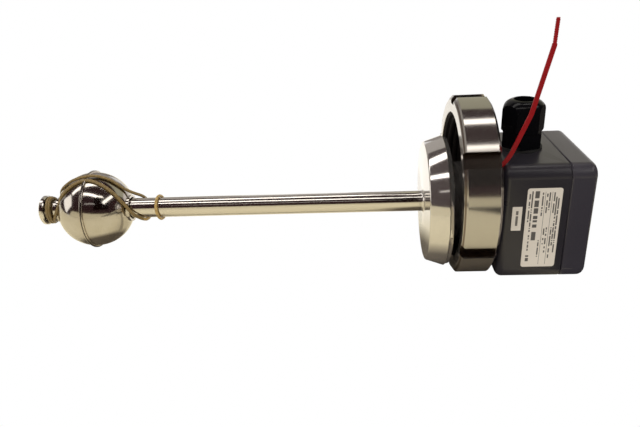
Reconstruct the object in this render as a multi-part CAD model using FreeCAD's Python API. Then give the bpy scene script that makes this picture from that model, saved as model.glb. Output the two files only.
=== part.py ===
"""Float level switch with a hygienic union-nut process connection.

Millimetres, +Z up.  The origin is the centre of the process connection's
sealing face.  The guide tube hangs down from that face and carries the ball
float; the connection head stands above it, with its cable gland towards -X
and its labelled side towards -Y.  Each sub-part goes to parts/NAME.step.
"""
import FreeCAD, Part
import math
import os

Vector = FreeCAD.Vector
X_AXIS = Vector(1, 0, 0)
Z_AXIS = Vector(0, 0, 1)
ORIGIN = Vector(0, 0, 0)
FULL_TURN = 360.0

# ---- driving dimensions -------------------------------------------------

# clearances used all over
TOUCH_GAP = 0.05
LOOSE_GAP = 0.3

# guide tube and end stop
TUBE_R = 7.0
TUBE_WALL = 1.0
TUBE_REACH = 267.2
TUBE_SOCKET = 16.0
STOP_R = 10.4
STOP_THICK = 3.3
STOP_EDGE = 0.7
STOP_SPIGOT = 5.0

# process connection: conical liner and neck
CONE_TAPER = 2.7
CONE_EDGE = 1.2
CONE_HEIGHT = 10.4
CREST_ROUND = 1.2
SHOULDER_STEP = 4.2
SHOULDER_HEIGHT = 4.0
NECK_R = 26.7
NECK_WALL = 6.3
NECK_FLOOR_THICK = 12.0
WELD_R = 1.5

# slotted round union nut
NUT_R = 59.8
NUT_HEIGHT = 22.9
NUT_PLAY = 3.5
NUT_WALL = 12.2
NUT_ENTRY_STEP = 1.6
NUT_ENTRY_DEPTH = 2.0
NUT_SEAT_WIDTH = 8.7
NUT_SEAT_CONE = 2.0
NUT_FLANGE_THICK = 4.0
NUT_COLLAR_GAP = 1.4
NUT_CHAMFER_HEIGHT = 2.0
NUT_CHAMFER_WIDTH = 2.9
NUT_SLOTS = 6
NUT_SLOT_WIDTH = 10.2
NUT_SLOT_DEPTH = 5.1
NUT_FIRST_SLOT = 54.5

# connection head: base and lid
HEAD_GAP = 3.4
HEAD_SIZE_X = 78.6
HEAD_SIZE_Y = 79.0
HEAD_SHIFT_X = 2.05
HEAD_BASE_HEIGHT = 41.2
HEAD_LID_HEIGHT = 16.1
HEAD_ROUND = 4.5
HEAD_WALL = 4.6
HEAD_FLOOR = 4.0
HEAD_ROOF = 3.2
HEAD_CORNER_CUT = 23.5
PARTING_CHAMFER = 0.7
NECK_GASKET_THICK = 1.0
LEAD_HOLE_R = 10.0

# lid gasket
GASKET_INSET = 2.2
GASKET_WIDTH = 1.6
GASKET_DEPTH = 1.2
GASKET_CORNER_CUT = 19.4

# screws
SCREW_R = 2.0
SCREW_HEAD_R = 3.6
SCREW_HEAD = 2.6
SCREW_SLOT = 0.9
SCREW_BITE = 10.0
LID_SCREW_INSET = 7.5
LID_POCKET_R = 4.3
LID_POCKET_DEPTH = 5.0
NECK_SCREWS = 4

# cable gland, along -X
GLAND_RISE = 19.0
GLAND_Y = 0.0
GLAND_AF = 24.0
GLAND_THREAD_R = 10.0
GLAND_WASHER_THICK = 1.5
GLAND_WASHER_R = 13.4
GLAND_HEX_LENGTH = 10.1
GLAND_NECK_LENGTH = 12.0
GLAND_BORE_R = 8.6
GLAND_INNER_LENGTH = 10.0
GLAND_CORNER = 0.9
GLAND_HEX_TURN = 14.5
LOCKNUT_AF = 26.0
LOCKNUT_THICK = 4.5
SEAL_BORE_R = 5.0
SEAL_LENGTH = 16.0
CAP_LENGTH = 20.5
CAP_ROUND = 8.0
CAP_MOUTH_R = 7.0
CAP_ROOF = 5.5
CAP_SKIRT_CHAMFER = 0.8

# float
FLOAT_R = 26.2
FLOAT_SHELL = 0.8
FLOAT_LIP_R = 27.5
FLOAT_LIP = 1.1
FLOAT_SEAM = 0.35
FLOAT_BORE_GAP = 0.8
FLOAT_BORE_WALL = 1.5
FLOAT_COLLAR = 1.8
MAGNET_R = 13.0
MAGNET_HEIGHT = 10.0

# rubber band that ties the float down for carriage
BAND_WIDTH = 2.4
BAND_THICK = 1.2
BAND_COIL_WIDTH = 5.2
BAND_COIL_R = 9.9
BAND_COIL_TO_FLOAT = 3.1
BAND_HITCH_RISE = 34.0
BAND_HITCH_R = 9.0
BAND_AZIMUTHS = (188.0, 212.0)
LOOP_RISE = 46.7
LOOP_CORD_R = 1.0

# cable tie round the neck
TIE_EDGE_GAP = 1.0
TIE_STEP_RUN = 4.5
TIE_STEP_RISE = 4.9
TIE_SLOPE_RUN = 30.0
TIE_SLOPE_RISE = 10.6
TIE_UPPER_RUN = 40.4
TIE_UPPER_RISE = 7.5
TIE_LAST_RUN = 1.0
TIE_WIDTH = 2.7
TIE_THICK = 1.1
TIE_HEAD = 5.4
TIE_HEAD_THICK = 5.0
TIE_LEAN = 6.3
TIE_BEND_R = 4.0
TIE_SWEEP_R = 25.0
TIE_TIP_WIDTH = 2.2
TIE_TIP_LENGTH = 15.0
TIE_TOOTH_PITCH = 1.3
TIE_TOOTH_DEPTH = 0.2

# switching unit inside the tube
BOARD_THICK = 1.0
BOARD_WIDTH = 11.4
BOARD_END_GAP = 1.0
REED_R = 1.2
REED_LENGTH = 14.0
REED_PITCH = 60.0
REED_COUNT = 4
REED_FIRST = 40.0
LEAD_R = 0.8
LEAD_PITCH = 3.0
LEAD_COUNT = 3
LEAD_BEND_R = 10.0
LEAD_HEIGHT = 9.5

# terminals and earth screw
BLOCK_X = 14.0
BLOCK_DEPTH = 13.0
BLOCK_LENGTH = 38.0
BLOCK_HEIGHT = 14.0
BOSS_R = 3.4
BOSS_HEIGHT = 4.4
BLOCK_SCREW_SPAN = 29.0
BLOCK_SCREW_R = 1.4
BLOCK_SCREW_HEAD_R = 2.6
TERMINALS = 4
TERMINAL_PITCH = 5.6
TERMINAL_R = 2.1
TERMINAL_DEPTH = 2.5
EARTH_INSET = 17.2
EARTH_Y = 24.0
EARTH_PLATE = 9.0
EARTH_PLATE_THICK = 1.2

# ---- sizes that follow from them ----------------------------------------

TUBE_BORE_R = TUBE_R - TUBE_WALL
STOP_TOP = -TUBE_REACH
NUT_THREAD_R = NUT_R - NUT_WALL
NUT_ENTRY_R = NUT_THREAD_R + NUT_ENTRY_STEP
NUT_HOLE_R = NUT_THREAD_R - NUT_SEAT_WIDTH
CREST_R = NUT_THREAD_R - NUT_COLLAR_GAP
FACE_R = CREST_R - CONE_TAPER
SHOULDER_R = CREST_R - SHOULDER_STEP
SHOULDER_Z = CONE_HEIGHT + SHOULDER_HEIGHT
NUT_BOTTOM = SHOULDER_Z + NUT_PLAY
NUT_TOP = NUT_BOTTOM + NUT_HEIGHT
NUT_SHIFT_X = -(NUT_HOLE_R - NECK_R - LOOSE_GAP)
HEAD_BOTTOM = NUT_TOP + HEAD_GAP
NECK_BORE_R = NECK_R - NECK_WALL
NECK_TOP = HEAD_BOTTOM - NECK_GASKET_THICK
NECK_SCREW_CIRCLE = (NECK_R + NECK_BORE_R) / 2
HEAD_X0 = HEAD_SHIFT_X - HEAD_SIZE_X / 2
HEAD_X1 = HEAD_SHIFT_X + HEAD_SIZE_X / 2
HEAD_Y1 = HEAD_SIZE_Y / 2
PARTING = HEAD_BOTTOM + HEAD_BASE_HEIGHT
HEAD_TOP = PARTING + HEAD_LID_HEIGHT
HEAD_FLOOR_Z = HEAD_BOTTOM + HEAD_FLOOR
GLAND_Z = HEAD_BOTTOM + GLAND_RISE
GLAND_HEX_X = HEAD_X0 - GLAND_WASHER_THICK
CAP_X = GLAND_HEX_X - GLAND_HEX_LENGTH - LOOSE_GAP
EARTH_X = HEAD_X0 + EARTH_INSET
FLOAT_BORE_R = TUBE_R + FLOAT_BORE_GAP
FLOAT_BORE_OUTER_R = FLOAT_BORE_R + FLOAT_BORE_WALL
FLOAT_POLE = math.sqrt(FLOAT_R ** 2 - FLOAT_BORE_OUTER_R ** 2)
FLOAT_HALF = FLOAT_POLE + FLOAT_COLLAR
COIL_BOTTOM = STOP_TOP + LOOSE_GAP
COIL_TOP = COIL_BOTTOM + BAND_COIL_WIDTH
FLOAT_Z = COIL_TOP + BAND_COIL_TO_FLOAT + FLOAT_HALF
BAND_BORE_R = TUBE_R + LOOSE_GAP
TIE_Z = (NUT_TOP + HEAD_BOTTOM) / 2
TIE_INNER_R = NECK_R + TOUCH_GAP
TIE_FLAT_RUN = -HEAD_X0 / math.cos(math.radians(TIE_LEAN)) + TIE_EDGE_GAP
BLOCK_Z = HEAD_FLOOR_Z + BOSS_HEIGHT


# ---- helpers ------------------------------------------------------------

def revolved(outline, centre=ORIGIN):
    """Solid of revolution about +Z from (radius, height) points or arcs."""
    edges = []
    here = outline[0]
    closing = [] if outline[-1][-2:] == here else [here]
    for step in outline[1:] + closing:
        if len(step) == 4:
            middle = Vector(step[0], 0, step[1])
            there = (step[2], step[3])
            start = Vector(here[0], 0, here[1])
            end = Vector(there[0], 0, there[1])
            edges.append(Part.Arc(start, middle, end).toShape())
        else:
            there = step
            start = Vector(here[0], 0, here[1])
            end = Vector(there[0], 0, there[1])
            edges.append(Part.LineSegment(start, end).toShape())
        here = there
    solid = Part.Face(Part.Wire(edges)).revolve(ORIGIN, Z_AXIS, FULL_TURN)
    solid.translate(centre)
    return solid


def ring(outer_r, inner_r, bottom, top):
    """Plain ring about +Z."""
    outer = Part.makeCylinder(outer_r, top - bottom, Vector(0, 0, bottom))
    return outer.cut(Part.makeCylinder(inner_r, top - bottom, Vector(0, 0, bottom)))


def rod_x(radius, start_x, length, y=0.0, z=0.0):
    """Cylinder that runs from start_x towards -X."""
    return Part.makeCylinder(radius, length, Vector(start_x, y, z), -X_AXIS)


def block(x0, x1, y0, y1, z0, z1):
    """Box between two corners."""
    return Part.makeBox(x1 - x0, y1 - y0, z1 - z0, Vector(x0, y0, z0))


def hexagon_x(across_flats, start_x, length, turn=0):
    """Hexagonal prism on the gland's axis towards -X; turn 0 has two corners up and down."""
    corner_r = across_flats / math.sqrt(3)
    points = []
    for corner in range(7):
        angle = math.radians(60 * corner + turn)
        y = GLAND_Y + corner_r * math.sin(angle)
        z = GLAND_Z + corner_r * math.cos(angle)
        points.append(Vector(start_x, y, z))
    return Part.Face(Part.makePolygon(points)).extrude(Vector(-length, 0, 0))


def eight_sided(inset, corner_cut, bottom, top):
    """Prism inside the head's outline with its four corners cut off."""
    x0 = HEAD_X0 + inset
    x1 = HEAD_X1 - inset
    y1 = HEAD_Y1 - inset
    cut = corner_cut - 2 * inset
    points = [
        (x0 + cut, -y1), (x1 - cut, -y1), (x1, -y1 + cut), (x1, y1 - cut),
        (x1 - cut, y1), (x0 + cut, y1), (x0, y1 - cut), (x0, -y1 + cut), (x0 + cut, -y1),
    ]
    outline = Part.makePolygon([Vector(x, y, bottom) for x, y in points])
    return Part.Face(outline).extrude(Vector(0, 0, top - bottom))


def pan_screw(x, y, seat_z, shank, head_r=SCREW_HEAD_R, shank_r=SCREW_R):
    """Slotted pan-head screw that points down, its head on seat_z."""
    head_height = SCREW_HEAD * head_r / SCREW_HEAD_R
    rim = head_r - head_height / 3
    top = seat_z + head_height
    screw = revolved([
        (0, seat_z - shank), (shank_r, seat_z - shank), (shank_r, seat_z), (head_r, seat_z),
        (head_r, top - head_height / 3), (rim, top), (0, top),
    ])
    slot = block(-head_r, head_r, -SCREW_SLOT / 2, SCREW_SLOT / 2, top - head_height / 2, top)
    screw = screw.cut(slot)
    screw.translate(Vector(x, y, 0))
    return screw


def head_corners():
    """Places of the four lid screws."""
    reach_y = HEAD_Y1 - LID_SCREW_INSET
    places = []
    for x in (HEAD_X0 + LID_SCREW_INSET, HEAD_X1 - LID_SCREW_INSET):
        for y in (-reach_y, reach_y):
            places.append((x, y))
    return places


def neck_screw_places():
    """Places of the screws that hold the head on the neck."""
    places = []
    for index in range(NECK_SCREWS):
        angle = math.radians(FULL_TURN / NECK_SCREWS * index)
        places.append((NECK_SCREW_CIRCLE * math.cos(angle), NECK_SCREW_CIRCLE * math.sin(angle)))
    return places


def block_screw_places():
    """Places of the two screws of the terminal block."""
    x = BLOCK_X + BLOCK_DEPTH / 2
    return [(x, -BLOCK_SCREW_SPAN / 2), (x, BLOCK_SCREW_SPAN / 2)]


# ---- guide tube ---------------------------------------------------------

def guide_tube():
    return ring(TUBE_R, TUBE_BORE_R, STOP_TOP, TUBE_SOCKET)


def end_stop():
    """Welded end plug whose rim stops the float."""
    bottom = STOP_TOP - STOP_THICK
    spigot_r = TUBE_BORE_R - TOUCH_GAP
    return revolved([
        (0, bottom), (STOP_R - STOP_EDGE, bottom), (STOP_R, bottom + STOP_EDGE),
        (STOP_R, STOP_TOP - STOP_EDGE), (STOP_R - STOP_EDGE, STOP_TOP),
        (spigot_r, STOP_TOP), (spigot_r, STOP_TOP + STOP_SPIGOT), (0, STOP_TOP + STOP_SPIGOT),
    ])


# ---- process connection -------------------------------------------------

def liner():
    """Cone liner with a weld bead round the tube and the neck above it."""
    bore = TUBE_R + TOUCH_GAP
    slope = CONE_TAPER / (CONE_HEIGHT - CONE_EDGE)
    below_crest = CREST_R - slope * CREST_ROUND
    bead_middle = WELD_R * (1 - math.sqrt(0.5))
    body = revolved([
        (bore, -WELD_R), (bore + bead_middle, -bead_middle, bore + WELD_R, 0),
        (FACE_R - CONE_EDGE, 0), (FACE_R, CONE_EDGE),
        (below_crest, CONE_HEIGHT - CREST_ROUND),
        (CREST_R, CONE_HEIGHT, CREST_R - CREST_ROUND, CONE_HEIGHT + CREST_ROUND),
        (SHOULDER_R, SHOULDER_Z), (NECK_R, SHOULDER_Z),
        (NECK_R, NECK_TOP), (NECK_BORE_R, NECK_TOP),
        (NECK_BORE_R, NECK_FLOOR_THICK), (bore, NECK_FLOOR_THICK),
    ])
    for x, y in neck_screw_places():
        hole = Part.makeCylinder(SCREW_R + TOUCH_GAP, SCREW_BITE, Vector(x, y, NECK_TOP - SCREW_BITE))
        body = body.cut(hole)
    return body


def neck_gasket():
    gasket = ring(NECK_R, LEAD_HOLE_R, NECK_TOP, HEAD_BOTTOM)
    for x, y in neck_screw_places():
        hole = Part.makeCylinder(SCREW_R + LOOSE_GAP, NECK_GASKET_THICK, Vector(x, y, NECK_TOP))
        gasket = gasket.cut(hole)
    return gasket


def union_nut():
    """Round nut with spanner slots, resting sideways on the neck."""
    seat = NUT_TOP - NUT_FLANGE_THICK
    body = revolved([
        (NUT_ENTRY_R, NUT_BOTTOM), (NUT_R - NUT_CHAMFER_WIDTH, NUT_BOTTOM),
        (NUT_R, NUT_BOTTOM + NUT_CHAMFER_HEIGHT), (NUT_R, NUT_TOP - NUT_CHAMFER_HEIGHT),
        (NUT_R - NUT_CHAMFER_WIDTH, NUT_TOP), (NUT_HOLE_R, NUT_TOP),
        (NUT_HOLE_R, seat), (NUT_THREAD_R, seat - NUT_SEAT_CONE),
        (NUT_THREAD_R, NUT_BOTTOM + NUT_ENTRY_DEPTH),
    ])
    slot_bottom = NUT_R - NUT_SLOT_DEPTH
    half = NUT_SLOT_WIDTH / 2
    slot = block(slot_bottom, NUT_R + NUT_SLOT_DEPTH, -half, half, NUT_BOTTOM, NUT_TOP)
    for index in range(NUT_SLOTS):
        cutter = slot.copy()
        cutter.rotate(ORIGIN, Z_AXIS, NUT_FIRST_SLOT + FULL_TURN / NUT_SLOTS * index)
        body = body.cut(cutter)
    body.translate(Vector(NUT_SHIFT_X, 0, 0))
    return body


# ---- connection head ----------------------------------------------------

def head_shell(bottom, top, parting):
    """Outer block of the base or lid, rounded everywhere but at the parting."""
    shell = block(HEAD_X0, HEAD_X1, -HEAD_Y1, HEAD_Y1, bottom, top)
    rounded = []
    edged = []
    for edge in shell.Edges:
        box = edge.BoundBox
        if box.ZLength < TOUCH_GAP and abs(box.ZMin - parting) < TOUCH_GAP:
            continue
        rounded.append(edge)
    shell = shell.makeFillet(HEAD_ROUND, rounded)
    for edge in shell.Edges:
        box = edge.BoundBox
        if box.ZLength < TOUCH_GAP and abs(box.ZMin - parting) < TOUCH_GAP:
            edged.append(edge)
    return shell.makeChamfer(PARTING_CHAMFER, edged)


def housing_base():
    body = head_shell(HEAD_BOTTOM, PARTING, PARTING)
    body = body.cut(eight_sided(HEAD_WALL, HEAD_CORNER_CUT, HEAD_FLOOR_Z, PARTING))
    body = body.cut(lid_gasket())
    body = body.cut(Part.makeCylinder(LEAD_HOLE_R, HEAD_FLOOR, Vector(0, 0, HEAD_BOTTOM)))
    for x, y in neck_screw_places():
        hole = Part.makeCylinder(SCREW_R + LOOSE_GAP, HEAD_FLOOR, Vector(x, y, HEAD_BOTTOM))
        body = body.cut(hole)
    depth = SCREW_BITE + LOOSE_GAP
    for x, y in head_corners():
        hole = Part.makeCylinder(SCREW_R + TOUCH_GAP, depth, Vector(x, y, PARTING - depth))
        body = body.cut(hole)
    for x, y in block_screw_places():
        boss = Part.makeCylinder(BOSS_R, BOSS_HEIGHT, Vector(x, y, HEAD_FLOOR_Z))
        body = body.fuse(boss)
        hole = Part.makeCylinder(BLOCK_SCREW_R + TOUCH_GAP, BOSS_HEIGHT, Vector(x, y, HEAD_FLOOR_Z))
        body = body.cut(hole)
    earth_depth = HEAD_FLOOR - LOOSE_GAP
    earth_hole = Part.makeCylinder(
        SCREW_R + TOUCH_GAP, earth_depth, Vector(EARTH_X, EARTH_Y, HEAD_FLOOR_Z - earth_depth))
    body = body.cut(earth_hole)
    gland_hole = rod_x(GLAND_THREAD_R + LOOSE_GAP, HEAD_X0 + HEAD_WALL, HEAD_WALL, GLAND_Y, GLAND_Z)
    return body.cut(gland_hole).removeSplitter()


def housing_lid():
    body = head_shell(PARTING, HEAD_TOP, PARTING)
    body = body.cut(eight_sided(HEAD_WALL, HEAD_CORNER_CUT, PARTING, HEAD_TOP - HEAD_ROOF))
    for x, y in head_corners():
        pocket = Part.makeCylinder(
            LID_POCKET_R, LID_POCKET_DEPTH, Vector(x, y, HEAD_TOP - LID_POCKET_DEPTH))
        hole = Part.makeCylinder(SCREW_R + LOOSE_GAP, HEAD_LID_HEIGHT, Vector(x, y, PARTING))
        body = body.cut(pocket).cut(hole)
    return body


def lid_gasket():
    """Square cord that runs inside the four lid screws."""
    bottom = PARTING - GASKET_DEPTH
    inner_cut = GASKET_CORNER_CUT + 2 * GASKET_WIDTH * math.sqrt(0.5)
    outer = eight_sided(GASKET_INSET, GASKET_CORNER_CUT, bottom, PARTING)
    inner = eight_sided(GASKET_INSET + GASKET_WIDTH, inner_cut, bottom, PARTING)
    return outer.cut(inner)


def lid_screws():
    seat = HEAD_TOP - LID_POCKET_DEPTH
    shank = seat - PARTING + SCREW_BITE
    return Part.makeCompound([pan_screw(x, y, seat, shank) for x, y in head_corners()])


def neck_screws():
    shank = HEAD_FLOOR + NECK_GASKET_THICK + SCREW_BITE - LOOSE_GAP
    return Part.makeCompound(
        [pan_screw(x, y, HEAD_FLOOR_Z, shank) for x, y in neck_screw_places()])


# ---- cable gland --------------------------------------------------------

def turned_x(outline, start_x):
    """Solid of revolution about the gland's axis; heights count towards -X."""
    solid = revolved(outline)
    solid.rotate(ORIGIN, Vector(0, 1, 0), -90)
    solid.translate(Vector(start_x, GLAND_Y, GLAND_Z))
    return solid


def gland_washer():
    return turned_x([
        (GLAND_THREAD_R + TOUCH_GAP, 0), (GLAND_WASHER_R, 0),
        (GLAND_WASHER_R, GLAND_WASHER_THICK), (GLAND_THREAD_R + TOUCH_GAP, GLAND_WASHER_THICK),
    ], HEAD_X0)


def gland_body():
    """Hexagon, thread through the wall and the threaded neck under the cap."""
    inside = GLAND_WASHER_THICK + HEAD_WALL + GLAND_INNER_LENGTH
    corner_r = GLAND_AF / math.sqrt(3)
    hexagon = hexagon_x(GLAND_AF, GLAND_HEX_X, GLAND_HEX_LENGTH, GLAND_HEX_TURN)
    bevel = turned_x([
        (0, 0), (corner_r - GLAND_CORNER, 0), (corner_r, GLAND_CORNER),
        (corner_r, GLAND_HEX_LENGTH - GLAND_CORNER),
        (corner_r - GLAND_CORNER, GLAND_HEX_LENGTH), (0, GLAND_HEX_LENGTH),
    ], GLAND_HEX_X)
    body = hexagon.common(bevel)
    total = inside + GLAND_HEX_LENGTH + GLAND_NECK_LENGTH
    thread = rod_x(GLAND_THREAD_R, GLAND_HEX_X + inside, total, GLAND_Y, GLAND_Z)
    bore = rod_x(GLAND_BORE_R, GLAND_HEX_X + inside, total, GLAND_Y, GLAND_Z)
    return body.fuse(thread).cut(bore).removeSplitter()


def gland_locknut():
    start = HEAD_X0 + HEAD_WALL + LOCKNUT_THICK
    nut = hexagon_x(LOCKNUT_AF, start, LOCKNUT_THICK, GLAND_HEX_TURN)
    return nut.cut(rod_x(GLAND_THREAD_R + TOUCH_GAP, start, LOCKNUT_THICK, GLAND_Y, GLAND_Z))


def gland_seal():
    """Rubber sleeve that closes on the cable when the cap is tightened."""
    neck_end = GLAND_HEX_LENGTH + GLAND_NECK_LENGTH
    outer_r = GLAND_BORE_R - TOUCH_GAP
    return turned_x([
        (SEAL_BORE_R, neck_end - SEAL_LENGTH), (outer_r, neck_end - SEAL_LENGTH),
        (outer_r, neck_end), (SEAL_BORE_R, neck_end),
    ], GLAND_HEX_X)


def gland_cap():
    """Hexagonal cap with a domed end and an open mouth for the cable."""
    corner_r = GLAND_AF / math.sqrt(3)
    flat_r = corner_r - CAP_ROUND
    dome_start = CAP_LENGTH - CAP_ROUND
    middle_r = flat_r + CAP_ROUND * math.sqrt(0.5)
    middle_h = dome_start + CAP_ROUND * math.sqrt(0.5)
    envelope = turned_x([
        (0, 0), (corner_r - CAP_SKIRT_CHAMFER, 0), (corner_r, CAP_SKIRT_CHAMFER),
        (corner_r, dome_start), (middle_r, middle_h, flat_r, CAP_LENGTH), (0, CAP_LENGTH),
    ], CAP_X)
    cap = hexagon_x(GLAND_AF, CAP_X, CAP_LENGTH).common(envelope)
    socket = rod_x(GLAND_THREAD_R + LOOSE_GAP, CAP_X, CAP_LENGTH - CAP_ROOF, GLAND_Y, GLAND_Z)
    mouth = rod_x(CAP_MOUTH_R, CAP_X, CAP_LENGTH, GLAND_Y, GLAND_Z)
    return cap.cut(socket).cut(mouth)


# ---- float --------------------------------------------------------------

def float_half(side):
    """Half ball with a welded lip and a fine seam at the equator; side is +1 up or -1 down."""
    inner_r = FLOAT_R - FLOAT_SHELL
    hole_r = FLOAT_BORE_OUTER_R
    inner_pole = math.sqrt(inner_r ** 2 - hole_r ** 2)
    half_angle = math.atan2(FLOAT_POLE, hole_r) / 2
    inner_half_angle = math.atan2(inner_pole, hole_r) / 2
    lip_root = math.sqrt(FLOAT_R ** 2 - FLOAT_LIP ** 2)
    lip_middle = FLOAT_SEAM + (FLOAT_LIP - FLOAT_SEAM) * math.sqrt(0.5)
    half = revolved([
        (inner_r, 0), (FLOAT_LIP_R - FLOAT_SEAM, 0), (FLOAT_LIP_R, FLOAT_SEAM),
        (lip_root + (FLOAT_LIP_R - lip_root) * math.sqrt(0.5), lip_middle, lip_root, FLOAT_LIP),
        (FLOAT_R * math.cos(half_angle), FLOAT_R * math.sin(half_angle), hole_r, FLOAT_POLE),
        (hole_r, inner_pole),
        (inner_r * math.cos(inner_half_angle), inner_r * math.sin(inner_half_angle), inner_r, 0),
    ])
    if side < 0:
        half = half.mirror(ORIGIN, Z_AXIS)
    half.translate(Vector(0, 0, FLOAT_Z))
    return half


def float_bore_tube():
    tube = ring(FLOAT_BORE_OUTER_R, FLOAT_BORE_R, -FLOAT_HALF, FLOAT_HALF)
    tube.translate(Vector(0, 0, FLOAT_Z))
    return tube


def float_magnet():
    magnet = ring(MAGNET_R, FLOAT_BORE_OUTER_R + TOUCH_GAP, -MAGNET_HEIGHT / 2, MAGNET_HEIGHT / 2)
    magnet.translate(Vector(0, 0, FLOAT_Z))
    return magnet


def band_strand():
    """One strand over the ball: straight, round the equator, straight again."""
    path_r = FLOAT_LIP_R + TOUCH_GAP + BAND_THICK / 2
    upper = (BAND_HITCH_R - BAND_THICK, BAND_HITCH_RISE)
    lower = (BAND_COIL_R - BAND_THICK, COIL_BOTTOM + BAND_COIL_WIDTH / 2 - FLOAT_Z)
    angles = []
    for (radius, height), side in ((upper, -1), (lower, 1)):
        reach = math.hypot(radius, height)
        angles.append(math.atan2(height, radius) + side * math.acos(path_r / reach))
    touch = [Vector(path_r * math.cos(a), 0, path_r * math.sin(a)) for a in angles]
    middle = sum(angles) / 2
    crown = Vector(path_r * math.cos(middle), 0, path_r * math.sin(middle))
    start = Vector(upper[0], 0, upper[1])
    end = Vector(lower[0], 0, lower[1])
    path = Part.Wire([
        Part.LineSegment(start, touch[0]).toShape(),
        Part.Arc(touch[0], crown, touch[1]).toShape(),
        Part.LineSegment(touch[1], end).toShape(),
    ])
    along = (touch[0] - start).normalize()
    across = Vector(0, 1, 0)
    up = along.cross(across)
    corners = []
    for side_y, side_up in ((1, 1), (1, -1), (-1, -1), (-1, 1), (1, 1)):
        offset = across * (side_y * BAND_WIDTH / 2) + up * (side_up * BAND_THICK / 2)
        corners.append(start + offset)
    return path.makePipeShell([Part.makePolygon(corners)], True, True)


def rubber_band():
    """Band coiled on the tube below the ball and hitched above it."""
    coil = ring(BAND_COIL_R, BAND_BORE_R, COIL_BOTTOM, COIL_TOP)
    hitch_z = FLOAT_Z + BAND_HITCH_RISE
    hitch = ring(BAND_HITCH_R, BAND_BORE_R, hitch_z - BAND_WIDTH / 2, hitch_z + BAND_WIDTH / 2)
    band = coil.fuse(hitch)
    for azimuth in BAND_AZIMUTHS:
        strand = band_strand()
        strand.rotate(ORIGIN, Z_AXIS, azimuth)
        strand.translate(Vector(0, 0, FLOAT_Z))
        band = band.fuse(strand)
    band = band.cut(Part.makeCylinder(BAND_BORE_R, TUBE_REACH, Vector(0, 0, STOP_TOP)))
    return band


def rubber_band_loop():
    middle = BAND_BORE_R + LOOP_CORD_R
    outer = middle + LOOP_CORD_R
    half = LOOP_CORD_R / 2
    return revolved([
        (middle, -LOOP_CORD_R), (outer, -half), (outer, half),
        (middle, LOOP_CORD_R), (BAND_BORE_R, half), (BAND_BORE_R, -half),
    ], Vector(0, 0, FLOAT_Z + LOOP_RISE))


# ---- cable tie ----------------------------------------------------------

def tie_route():
    """Corners of the tail's centre line, from the loop to the root of its tip."""
    y = -(TIE_INNER_R + TIE_THICK / 2)
    runs = (
        (TIE_FLAT_RUN, 0.0), (TIE_STEP_RUN, TIE_STEP_RISE), (TIE_SLOPE_RUN, TIE_SLOPE_RISE),
        (TIE_UPPER_RUN, TIE_UPPER_RISE), (TIE_LAST_RUN, 0.0),
    )
    route = [Vector(0, y, TIE_Z)]
    for run, rise in runs:
        route.append(route[-1] + Vector(-run, 0, rise))
    return route


def tie_path(points, radii):
    """Wire of straight runs joined by tangent arcs."""
    edges = []
    here = points[0]
    for before, corner, after, radius in zip(points, points[1:], points[2:], radii):
        back = (before - corner).normalize()
        ahead = (after - corner).normalize()
        half = back.getAngle(ahead) / 2
        setback = radius / math.tan(half)
        first = corner + back * setback
        last = corner + ahead * setback
        centre = corner + (back + ahead).normalize() * (radius / math.sin(half))
        middle = centre + (corner - centre).normalize() * radius
        edges.append(Part.LineSegment(here, first).toShape())
        edges.append(Part.Arc(first, middle, last).toShape())
        here = last
    edges.append(Part.LineSegment(here, points[-1]).toShape())
    return Part.Wire(edges)


def tie_tip(tip):
    """Narrow grip end with teeth along both edges, laid from the tail's end."""
    half = TIE_TIP_WIDTH / 2
    count = int(TIE_TIP_LENGTH / TIE_TOOTH_PITCH)
    upper = []
    for tooth in range(count):
        upper.append((tooth * TIE_TOOTH_PITCH, half))
        upper.append((tooth * TIE_TOOTH_PITCH + TIE_TOOTH_PITCH / 2, half - TIE_TOOTH_DEPTH))
    upper.append((count * TIE_TOOTH_PITCH, half - TIE_TOOTH_DEPTH))
    lower = [(x, -z) for x, z in reversed(upper)]
    outline = upper + lower + upper[:1]
    points = [Vector(-x, -TIE_THICK / 2, z) for x, z in outline]
    piece = Part.Face(Part.makePolygon(points)).extrude(Vector(0, TIE_THICK, 0))
    piece.translate(tip)
    return piece


def cable_tie():
    """Loop round the neck, head in the nut's free space, tail past the head's edge."""
    bottom = TIE_Z - TIE_WIDTH / 2
    top = TIE_Z + TIE_WIDTH / 2
    loop = ring(TIE_INNER_R + TIE_THICK, TIE_INNER_R, bottom, top)
    points = tie_route()
    path = tie_path(points, (TIE_BEND_R, TIE_SWEEP_R, TIE_SWEEP_R, TIE_BEND_R))
    corners = []
    for side_y, side_z in ((1, 1), (1, -1), (-1, -1), (-1, 1), (1, 1)):
        corners.append(points[0] + Vector(0, side_y * TIE_THICK / 2, side_z * TIE_WIDTH / 2))
    tail = path.makePipeShell([Part.makePolygon(corners)], True, True)
    tail = tail.fuse(tie_tip(points[-1]))
    head_y = -TIE_INNER_R
    head = block(-TIE_HEAD / 2, TIE_HEAD / 2, head_y - TIE_HEAD_THICK, head_y, top - TIE_HEAD, top)
    tail = tail.fuse(head)
    tail.rotate(ORIGIN, Z_AXIS, TIE_LEAN)
    return tail.fuse(loop).removeSplitter()


# ---- switching unit and terminals ---------------------------------------

def reed_board():
    bottom = STOP_TOP + STOP_SPIGOT + BOARD_END_GAP
    top = TUBE_SOCKET - BOARD_END_GAP
    half = BOARD_WIDTH / 2
    return block(-BOARD_THICK / 2, BOARD_THICK / 2, -half, half, bottom, top)


def reed_switches():
    """Glass reed switches along the board, one for each switching level."""
    x = BOARD_THICK / 2 + REED_R + TOUCH_GAP
    switches = []
    for index in range(REED_COUNT):
        bottom = -REED_FIRST - REED_PITCH * index - REED_LENGTH
        switches.append(Part.makeCylinder(REED_R, REED_LENGTH, Vector(x, 0, bottom)))
    return Part.makeCompound(switches)


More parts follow.
